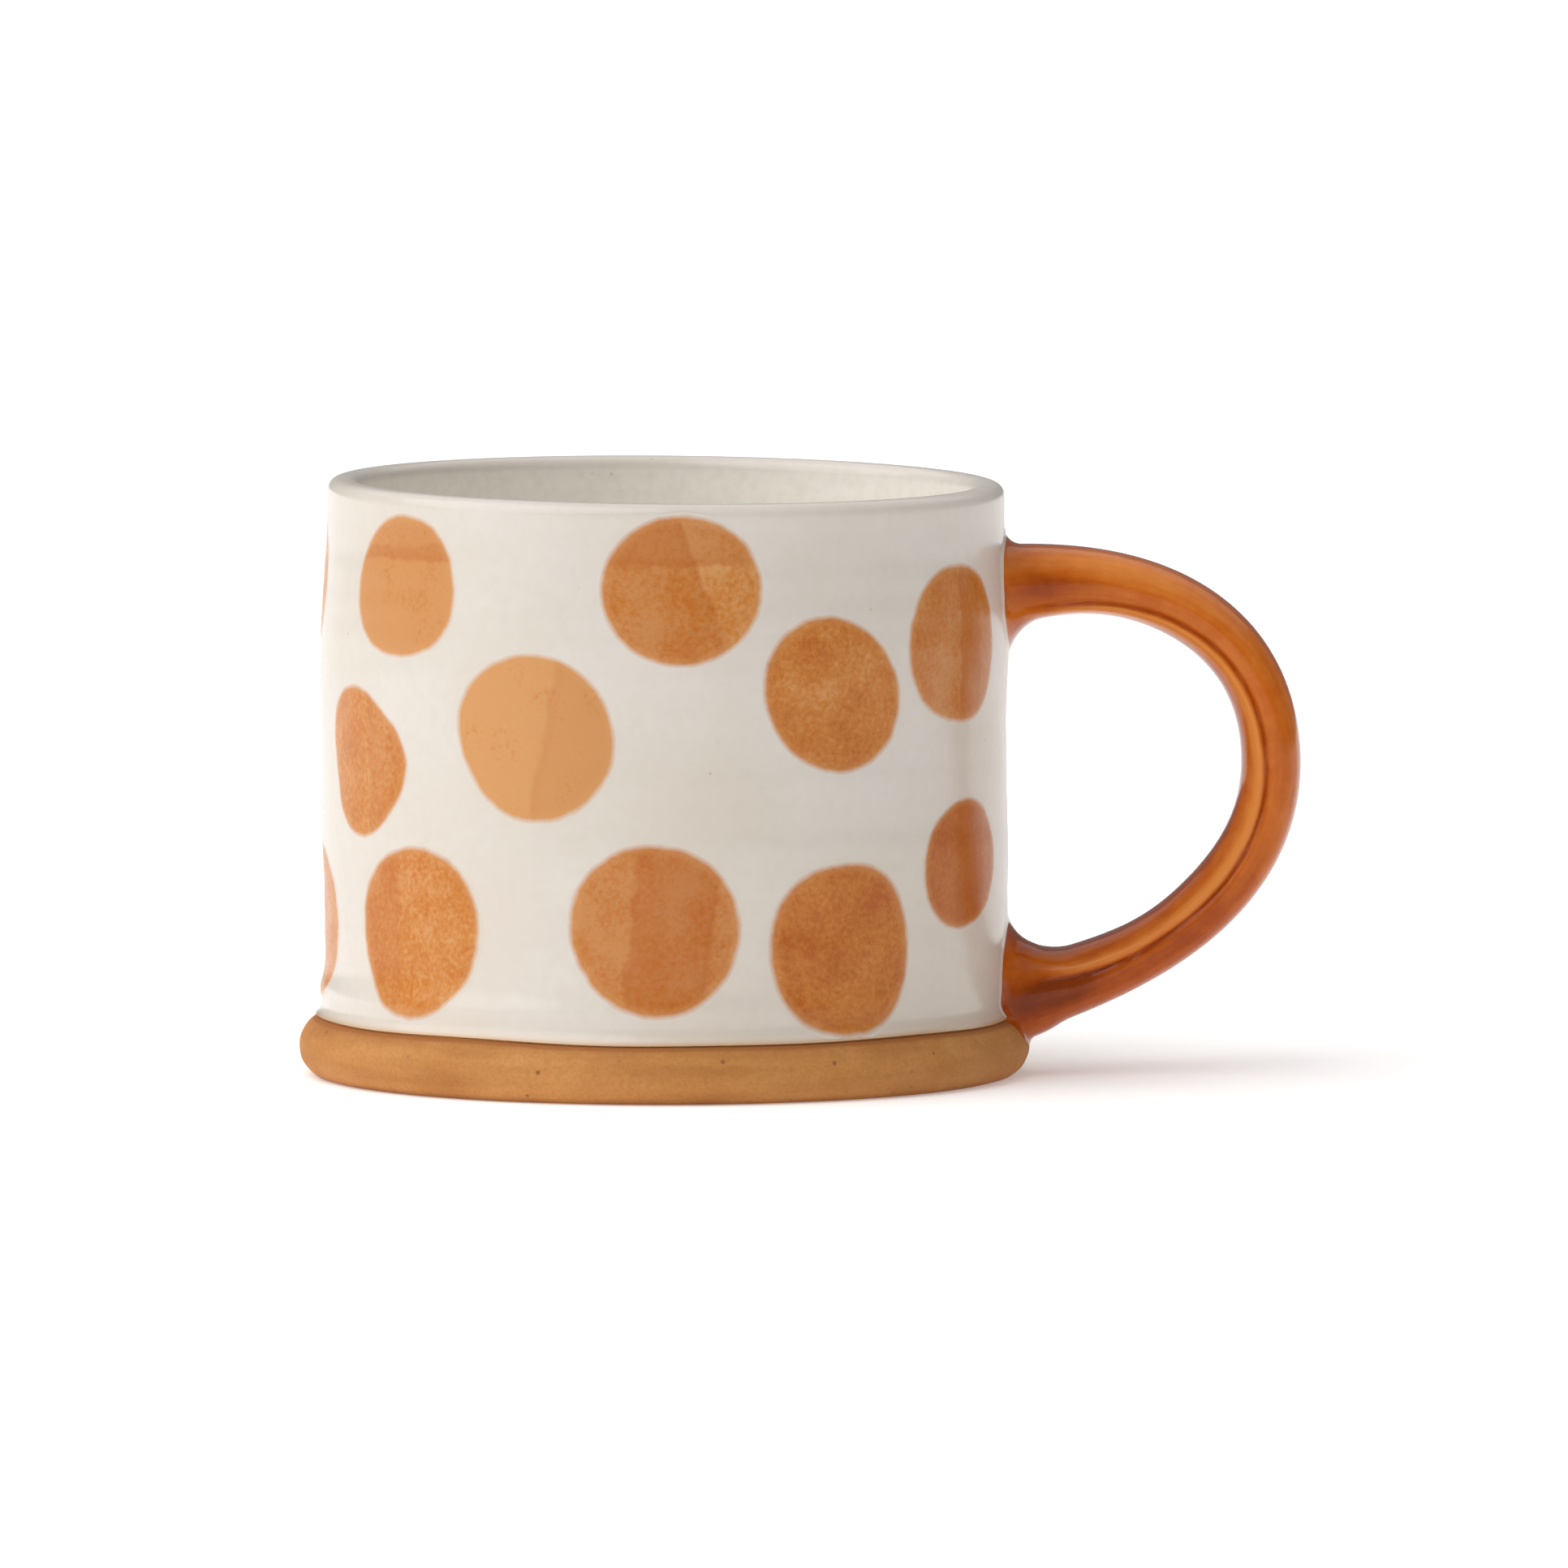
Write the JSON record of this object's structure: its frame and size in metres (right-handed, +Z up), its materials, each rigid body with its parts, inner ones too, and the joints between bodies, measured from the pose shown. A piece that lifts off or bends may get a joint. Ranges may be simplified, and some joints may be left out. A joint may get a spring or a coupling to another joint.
{
  "type": "stoneware mug",
  "caption": "Low straight-sided stoneware mug on a flared bare-clay base, with a loop handle, a pale glaze, an amber-glazed handle and painted round spots.",
  "frame": {"origin": "middle of the foot, in the plane of the surface that the mug stands on", "axes": "+Z up along the axis of the cup; +X from the cup's axis towards the handle"},
  "size_m": [0.1381, 0.1012, 0.0825],
  "materials": {
    "bare_clay": "matte",
    "clay_body": "matte",
    "cream_glaze": "gloss",
    "amber_glaze": "gloss",
    "spot_paint": "gloss"
  },
  "bodies": {
    "root": {"base_slab": "bare_clay", "cup_wall": "clay_body", "inside_seam_coil": "clay_body", "handle": "clay_body", "upper_handle_slip": "clay_body", "lower_handle_slip": "clay_body", "outer_glaze": "cream_glaze", "liner_glaze": "cream_glaze", "handle_glaze": "amber_glaze", "upper_spots": "spot_paint", "middle_spots": "spot_paint", "lower_spots": "spot_paint"}
  },
  "joints": []
}
